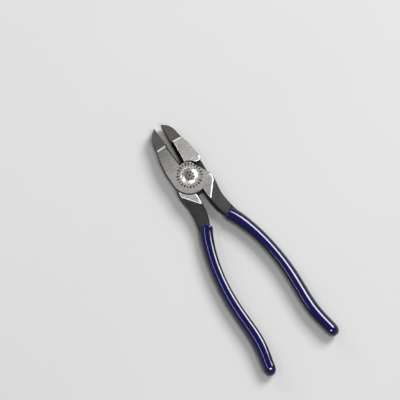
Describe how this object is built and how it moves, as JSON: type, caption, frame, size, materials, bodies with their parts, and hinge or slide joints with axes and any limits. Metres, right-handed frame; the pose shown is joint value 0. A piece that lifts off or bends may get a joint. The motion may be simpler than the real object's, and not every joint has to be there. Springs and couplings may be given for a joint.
{
  "type": "lineman's pliers",
  "caption": "Side-cutting lineman's pliers: crossed forged halves in a riveted lap joint, toothed nose, knives, shouldered handles in glossy dipped navy grips, lying slightly open.",
  "frame": {"origin": "the rivet's axis, at the flat underside of its rear head, level with the rear ground faces that the tool lies on", "axes": "+Z along the rivet's axis out of the front face, +Y from the rivet to the nose, +X to the right seen from the front, so the front half's jaw is on the -X side"},
  "size_m": [0.0742, 0.2354, 0.0164],
  "materials": {
    "ground_steel": "ground faces bright with fine grain, forged handles blackened",
    "rivet_steel": "turned, slightly crowned in front",
    "dipped_plastic": "smooth glossy dip coating"
  },
  "bodies": {
    "front_body": {"front_half": "ground_steel", "front_half_grip": "dipped_plastic", "joint_rivet": "rivet_steel"},
    "rear_body": {"rear_half": "ground_steel", "rear_half_grip": "dipped_plastic"}
  },
  "joints": [
    {"name": "jaw_pivot", "type": "hinge", "parent": "front_body", "child": "rear_body", "pos_m": [0, 0, 0.008], "axis": [0, 0, -1], "range_deg": [-7, 33]}
  ]
}
